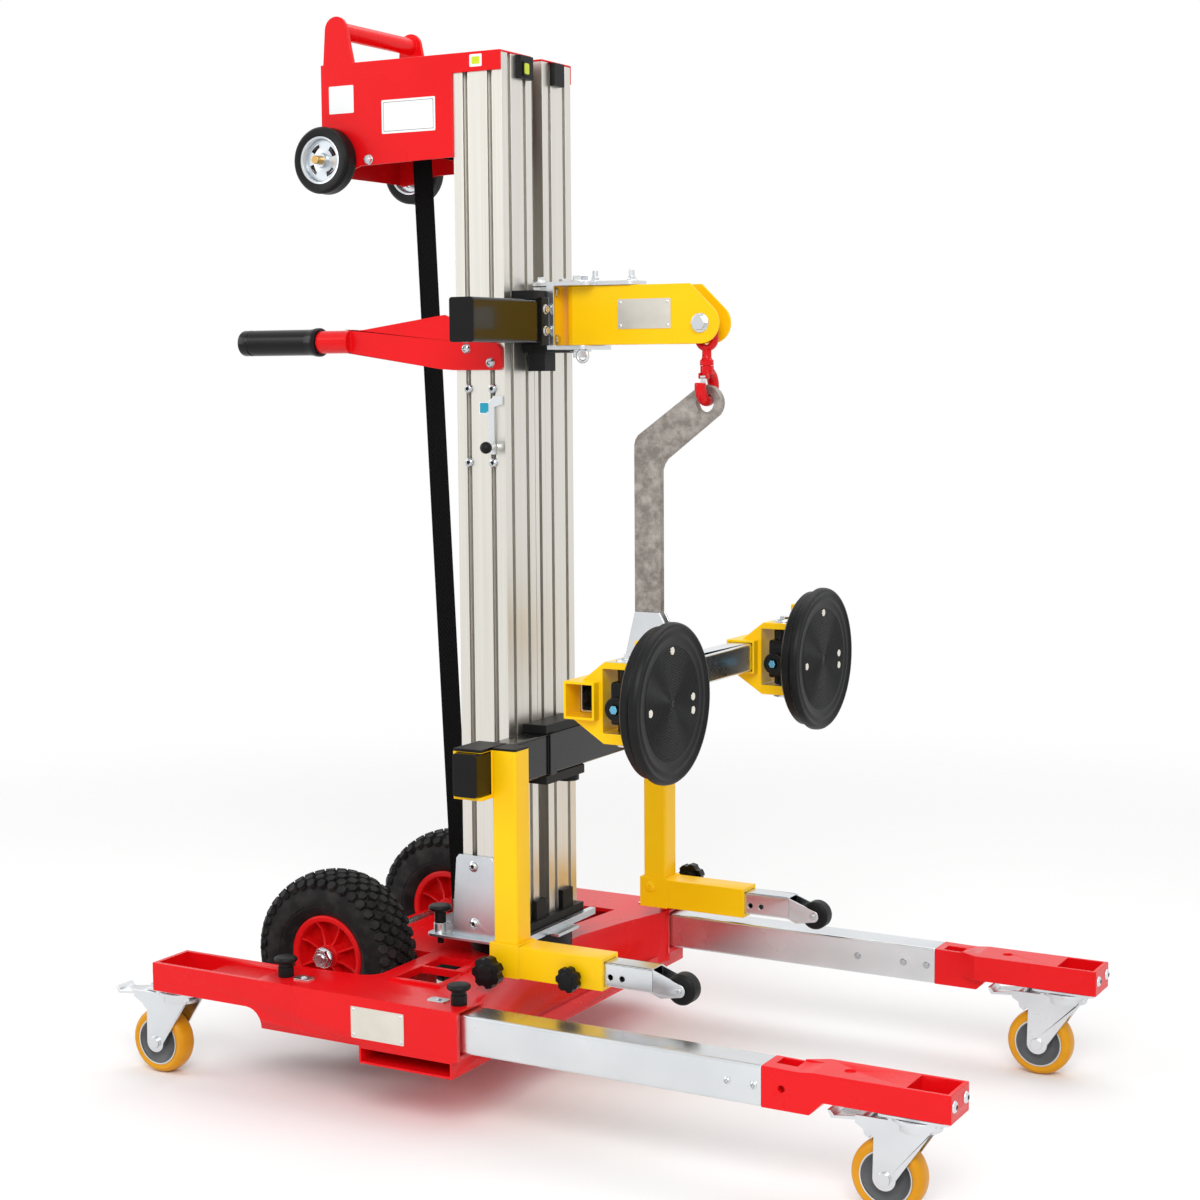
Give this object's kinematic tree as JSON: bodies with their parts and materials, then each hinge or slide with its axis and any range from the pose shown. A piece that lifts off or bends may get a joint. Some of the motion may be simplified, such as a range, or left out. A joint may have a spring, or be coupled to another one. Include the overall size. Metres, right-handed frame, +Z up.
{
  "type": "glass panel lifter",
  "caption": "Wheeled glass panel lifter with telescopic legs, turning double mast, lifting carriage, hook arm with twin suction pads and adjustable carrying forks.",
  "frame": {"origin": "on the floor at the middle of the machine's outer box", "axes": "+X forward towards the load, +Y to the left, +Z up"},
  "size_m": [1.3017, 0.694, 1.5253],
  "materials": {
    "red_paint": "gloss powder coat",
    "yellow_paint": "gloss powder coat",
    "zinc_plate": "bright zinc plated",
    "anodised_profile": "satin anodised",
    "black_plastic": "moulded",
    "black_paint": "satin powder coat",
    "flat_steel": "mill finish",
    "tyre_rubber": "ribbed tread",
    "wheel_rubber": "matt",
    "polyurethane": "cast tread",
    "webbing": "woven belt",
    "pad_metal": "black, rubber faced"
  },
  "bodies": {
    "chassis": {"chassis_frame": "red_paint", "chassis_fittings": "zinc_plate"},
    "caster_fork_rear_near": {"caster_fork_rear_near": "zinc_plate"},
    "caster_wheel_rear_near": {"caster_wheel_rear_near": "polyurethane"},
    "brake_pedal_rear_near": {"brake_pedal_rear_near": "zinc_plate"},
    "caster_fork_rear_far": {"caster_fork_rear_far": "zinc_plate"},
    "caster_wheel_rear_far": {"caster_wheel_rear_far": "polyurethane"},
    "brake_pedal_rear_far": {"brake_pedal_rear_far": "zinc_plate"},
    "caster_fork_front_near": {"caster_fork_front_near": "zinc_plate"},
    "caster_wheel_front_near": {"caster_wheel_front_near": "polyurethane"},
    "brake_pedal_front_near": {"brake_pedal_front_near": "zinc_plate"},
    "caster_fork_front_far": {"caster_fork_front_far": "zinc_plate"},
    "caster_wheel_front_far": {"caster_wheel_front_far": "polyurethane"},
    "brake_pedal_front_far": {"brake_pedal_front_far": "zinc_plate"},
    "leg_near": {"leg_tube_near": "zinc_plate", "leg_end_near": "red_paint"},
    "tyre_near": {"tyre_near": "tyre_rubber"},
    "plunger_front_near": {"plunger_front_near": "black_plastic"},
    "plunger_rear_near": {"plunger_rear_near": "black_plastic"},
    "leg_far": {"leg_tube_far": "zinc_plate", "leg_end_far": "red_paint"},
    "tyre_far": {"tyre_far": "tyre_rubber"},
    "plunger_front_far": {"plunger_front_far": "black_plastic"},
    "plunger_rear_far": {"plunger_rear_far": "black_plastic"},
    "mast": {"mast_foot": "zinc_plate", "column_near": "anodised_profile", "column_far": "anodised_profile", "mast_fittings": "black_plastic", "head_housing": "red_paint", "lifting_belt": "webbing", "side_handle": "red_paint", "handle_grip": "black_plastic"},
    "index_plunger": {"index_plunger": "black_plastic"},
    "belt_drum": {"belt_drum": "black_paint"},
    "latch": {"carriage_latch": "zinc_plate"},
    "loading_wheel_near": {"loading_wheel_near": "wheel_rubber"},
    "loading_wheel_far": {"loading_wheel_far": "wheel_rubber"},
    "carriage": {"carriage_profile": "anodised_profile", "guide_saddles": "black_plastic", "upper_crossbar": "black_paint", "lower_crossbar": "black_paint", "arm_bracket": "zinc_plate"},
    "load_arm": {"load_arm": "yellow_paint"},
    "swivel_eye": {"swivel_eye": "red_paint"},
    "hook": {"lift_hook": "red_paint"},
    "hook_latch": {"hook_latch": "zinc_plate"},
    "hanger": {"hanger_bar": "flat_steel", "pad_beam": "zinc_plate"},
    "pad_head_near": {"pad_head_near": "yellow_paint"},
    "pad_near": {"suction_pad_near": "pad_metal"},
    "pad_head_far": {"pad_head_far": "yellow_paint"},
    "pad_far": {"suction_pad_far": "pad_metal"},
    "post_near": {"post_near": "yellow_paint"},
    "fork_near": {"fork_near": "yellow_paint"},
    "extension_near": {"extension_near": "zinc_plate"},
    "roller_near": {"roller_near": "wheel_rubber"},
    "post_far": {"post_far": "yellow_paint"},
    "fork_far": {"fork_far": "yellow_paint"},
    "extension_far": {"extension_far": "zinc_plate"},
    "roller_far": {"roller_far": "wheel_rubber"}
  },
  "joints": [
    {"name": "caster_swivel_rear_near", "type": "hinge", "parent": "chassis", "child": "caster_fork_rear_near", "pos_m": [-0.537, -0.2995, 0.12], "axis": [0, 0, 1], "continuous": true},
    {"name": "caster_roll_rear_near", "type": "hinge", "parent": "caster_fork_rear_near", "child": "caster_wheel_rear_near", "pos_m": [-0.575, -0.2995, 0.0475], "axis": [0, 1, 0], "continuous": true},
    {"name": "caster_brake_rear_near", "type": "hinge", "parent": "caster_fork_rear_near", "child": "brake_pedal_rear_near", "pos_m": [-0.605, -0.2995, 0.1137], "axis": [0, 1, 0], "range_deg": [-8, 0]},
    {"name": "caster_swivel_rear_far", "type": "hinge", "parent": "chassis", "child": "caster_fork_rear_far", "pos_m": [-0.537, 0.2995, 0.12], "axis": [0, 0, 1], "continuous": true},
    {"name": "caster_roll_rear_far", "type": "hinge", "parent": "caster_fork_rear_far", "child": "caster_wheel_rear_far", "pos_m": [-0.575, 0.2995, 0.0475], "axis": [0, 1, 0], "continuous": true},
    {"name": "caster_brake_rear_far", "type": "hinge", "parent": "caster_fork_rear_far", "child": "brake_pedal_rear_far", "pos_m": [-0.605, 0.2995, 0.1137], "axis": [0, 1, 0], "range_deg": [-8, 0]},
    {"name": "caster_swivel_front_near", "type": "hinge", "parent": "leg_near", "child": "caster_fork_front_near", "pos_m": [0.597, -0.295, 0.12], "axis": [0, 0, 1], "continuous": true},
    {"name": "caster_roll_front_near", "type": "hinge", "parent": "caster_fork_front_near", "child": "caster_wheel_front_near", "pos_m": [0.559, -0.295, 0.0475], "axis": [0, 1, 0], "continuous": true},
    {"name": "caster_brake_front_near", "type": "hinge", "parent": "caster_fork_front_near", "child": "brake_pedal_front_near", "pos_m": [0.529, -0.295, 0.1137], "axis": [0, 1, 0], "range_deg": [-8, 0]},
    {"name": "caster_swivel_front_far", "type": "hinge", "parent": "leg_far", "child": "caster_fork_front_far", "pos_m": [0.597, 0.295, 0.12], "axis": [0, 0, 1], "continuous": true},
    {"name": "caster_roll_front_far", "type": "hinge", "parent": "caster_fork_front_far", "child": "caster_wheel_front_far", "pos_m": [0.559, 0.295, 0.0475], "axis": [0, 1, 0], "continuous": true},
    {"name": "caster_brake_front_far", "type": "hinge", "parent": "caster_fork_front_far", "child": "brake_pedal_front_far", "pos_m": [0.529, 0.295, 0.1137], "axis": [0, 1, 0], "range_deg": [-8, 0]},
    {"name": "leg_slide_near", "type": "slide", "parent": "chassis", "child": "leg_near", "axis": [1, 0, 0], "range_m": [-0.19, 0]},
    {"name": "tyre_roll_near", "type": "hinge", "parent": "chassis", "child": "tyre_near", "pos_m": [-0.362, -0.158, 0.17], "axis": [0, 1, 0], "continuous": true},
    {"name": "plunger_front_near_lift", "type": "slide", "parent": "chassis", "child": "plunger_front_near", "axis": [0, 0, 1], "range_m": [0, 0.008], "stiffness_N_per_m": 500, "springref_m": -0.005},
    {"name": "plunger_rear_near_lift", "type": "slide", "parent": "chassis", "child": "plunger_rear_near", "axis": [0, 0, 1], "range_m": [0, 0.008], "stiffness_N_per_m": 500, "springref_m": -0.005},
    {"name": "leg_slide_far", "type": "slide", "parent": "chassis", "child": "leg_far", "axis": [1, 0, 0], "range_m": [-0.19, 0]},
    {"name": "tyre_roll_far", "type": "hinge", "parent": "chassis", "child": "tyre_far", "pos_m": [-0.362, 0.158, 0.17], "axis": [0, 1, 0], "continuous": true},
    {"name": "plunger_front_far_lift", "type": "slide", "parent": "chassis", "child": "plunger_front_far", "axis": [0, 0, 1], "range_m": [0, 0.008], "stiffness_N_per_m": 500, "springref_m": -0.005},
    {"name": "plunger_rear_far_lift", "type": "slide", "parent": "chassis", "child": "plunger_rear_far", "axis": [0, 0, 1], "range_m": [0, 0.008], "stiffness_N_per_m": 500, "springref_m": -0.005},
    {"name": "mast_turn", "type": "hinge", "parent": "chassis", "child": "mast", "pos_m": [-0.1415, 0, 0.2], "axis": [0, 0, 1], "range_deg": [-18, 0]},
    {"name": "index_plunger_lift", "type": "slide", "parent": "mast", "child": "index_plunger", "axis": [0, 0, 1], "range_m": [0, 0.008], "stiffness_N_per_m": 500, "springref_m": -0.005},
    {"name": "drum_turn", "type": "hinge", "parent": "mast", "child": "belt_drum", "pos_m": [-0.26, 0, 1.3743], "axis": [0, 1, 0], "range_deg": [0, 416]},
    {"name": "latch_pull", "type": "slide", "parent": "mast", "child": "latch", "axis": [0, -1, 0], "range_m": [0, 0.006], "stiffness_N_per_m": 300, "springref_m": -0.004},
    {"name": "loading_roll_near", "type": "hinge", "parent": "mast", "child": "loading_wheel_near", "pos_m": [-0.3895, -0.1135, 1.3208], "axis": [0, 1, 0], "continuous": true},
    {"name": "loading_roll_far", "type": "hinge", "parent": "mast", "child": "loading_wheel_far", "pos_m": [-0.3895, 0.1135, 1.3208], "axis": [0, 1, 0], "continuous": true},
    {"name": "carriage_lift", "type": "slide", "parent": "mast", "child": "carriage", "axis": [0, 0, 1], "range_m": [0, 0.29]},
    {"name": "arm_turn", "type": "hinge", "parent": "carriage", "child": "load_arm", "pos_m": [-0.033, 0, 1.095], "axis": [0, 0, 1], "range_deg": [-30, 30]},
    {"name": "eye_swing", "type": "hinge", "parent": "load_arm", "child": "swivel_eye", "pos_m": [0.166, 0, 1.082], "axis": [0, 1, 0], "range_deg": [-8, 8]},
    {"name": "hook_turn", "type": "hinge", "parent": "swivel_eye", "child": "hook", "pos_m": [0.166, 0, 1.02], "axis": [0, 0, -1], "range_deg": [-20, 20]},
    {"name": "hook_latch_open", "type": "hinge", "parent": "hook", "child": "hook_latch", "pos_m": [0.166, -0.01045, 1.0085], "axis": [1, 0, 0], "range_deg": [0, 28], "stiffness_Nm_per_rad": 0.02, "springref_deg": -17.19},
    {"name": "hanger_swing", "type": "hinge", "parent": "hook", "child": "hanger", "pos_m": [0.166, 0, 0.976], "axis": [0, 1, 0], "range_deg": [-8, 8]},
    {"name": "pad_head_slide_near", "type": "slide", "parent": "hanger", "child": "pad_head_near", "axis": [0, 1, 0], "range_m": [0, 0.08]},
    {"name": "pad_tilt_near", "type": "hinge", "parent": "pad_head_near", "child": "pad_near", "pos_m": [0.174, -0.242, 0.593], "axis": [0, 0, 1], "range_deg": [-8, 8]},
    {"name": "pad_head_slide_far", "type": "slide", "parent": "hanger", "child": "pad_head_far", "axis": [0, -1, 0], "range_m": [0, 0.08]},
    {"name": "pad_tilt_far", "type": "hinge", "parent": "pad_head_far", "child": "pad_far", "pos_m": [0.174, 0.242, 0.593], "axis": [0, 0, 1], "range_deg": [-8, 8]},
    {"name": "post_slide_near", "type": "slide", "parent": "carriage", "child": "post_near", "axis": [0, 1, 0], "range_m": [0, 0.04]},
    {"name": "fork_height_near", "type": "slide", "parent": "post_near", "child": "fork_near", "axis": [0, 0, 1], "range_m": [0, 0.15]},
    {"name": "fork_reach_near", "type": "slide", "parent": "fork_near", "child": "extension_near", "axis": [1, 0, 0], "range_m": [0, 0.05]},
    {"name": "roller_roll_near", "type": "hinge", "parent": "extension_near", "child": "roller_near", "pos_m": [0.223, -0.185, 0.203], "axis": [0, 1, 0], "continuous": true},
    {"name": "post_slide_far", "type": "slide", "parent": "carriage", "child": "post_far", "axis": [0, -1, 0], "range_m": [0, 0.09]},
    {"name": "fork_height_far", "type": "slide", "parent": "post_far", "child": "fork_far", "axis": [0, 0, 1], "range_m": [0, 0.15]},
    {"name": "fork_reach_far", "type": "slide", "parent": "fork_far", "child": "extension_far", "axis": [1, 0, 0], "range_m": [0, 0.05]},
    {"name": "roller_roll_far", "type": "hinge", "parent": "extension_far", "child": "roller_far", "pos_m": [0.223, 0.254, 0.203], "axis": [0, 1, 0], "continuous": true}
  ],
  "couplings": [
    {"joint": "drum_turn", "follows": "carriage_lift", "rad_per_m": 25}
  ]
}
